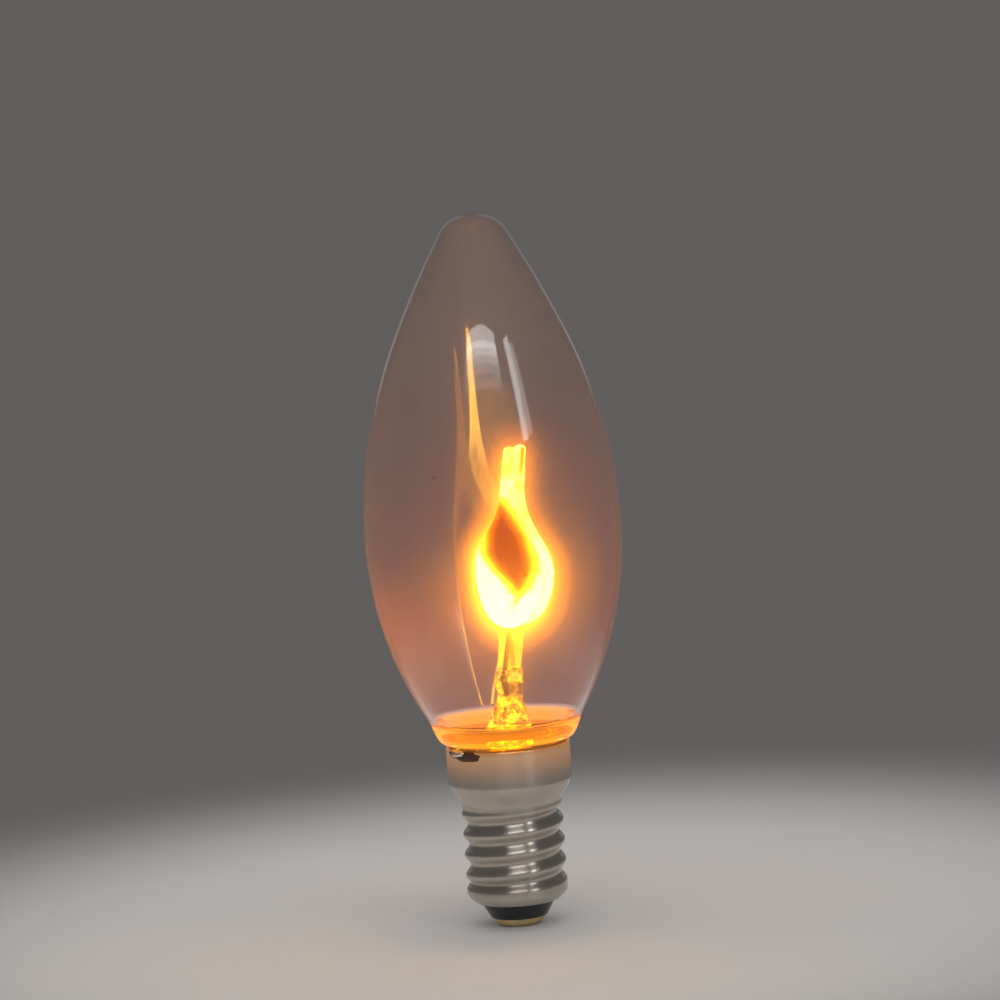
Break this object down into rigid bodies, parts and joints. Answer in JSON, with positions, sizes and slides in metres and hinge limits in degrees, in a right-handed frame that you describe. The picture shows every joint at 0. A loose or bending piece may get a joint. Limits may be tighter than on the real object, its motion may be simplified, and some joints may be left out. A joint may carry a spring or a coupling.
{
  "type": "flame effect bulb",
  "caption": "Clear candle-shaped glass bulb on a small screw cap, with flame-shaped plates on a glass stem inside that glow orange like a flickering flame.",
  "frame": {"origin": "centre of the end contact's face, the lowest point of the bulb, on the bulb's axis", "axes": "+Z along the bulb's axis from the end contact to the tip of the glass, -Y towards the front"},
  "size_m": [0.035, 0.035, 0.0979],
  "materials": {
    "clear_glass": "clear blown glass, fire polished",
    "stem_glass": "clear pressed lead glass",
    "glowing_plate": "coated iron sheet, lit by the orange glow of the gas on it",
    "lead_nickel": "drawn nickel wire, a little oxidised",
    "tinned_wire": "tinned copper wire",
    "resistor_lacquer": "tan lacquer",
    "cap_nickel": "nickel plated sheet, drawn and rolled",
    "black_vitrite": "black moulded glass, glossy",
    "contact_brass": "pressed brass",
    "solder": "bright solder with brown flux at its edge",
    "brown_cement": "baked brown basing cement, matt"
  },
  "bodies": {
    "root": {"basing_cement": "brown_cement", "cap_insulator": "black_vitrite", "cap_shell": "cap_nickel", "collar_solder": "solder", "collar_wire": "tinned_wire", "contact_wire": "tinned_wire", "end_contact": "contact_brass", "end_solder": "solder", "exhaust_tube": "stem_glass", "front_lead": "lead_nickel", "front_plate": "glowing_plate", "glass_envelope": "clear_glass", "glass_stem": "stem_glass", "rear_lead": "lead_nickel", "rear_plate": "glowing_plate", "resistor_wire": "tinned_wire", "series_resistor": "resistor_lacquer"}
  },
  "joints": []
}
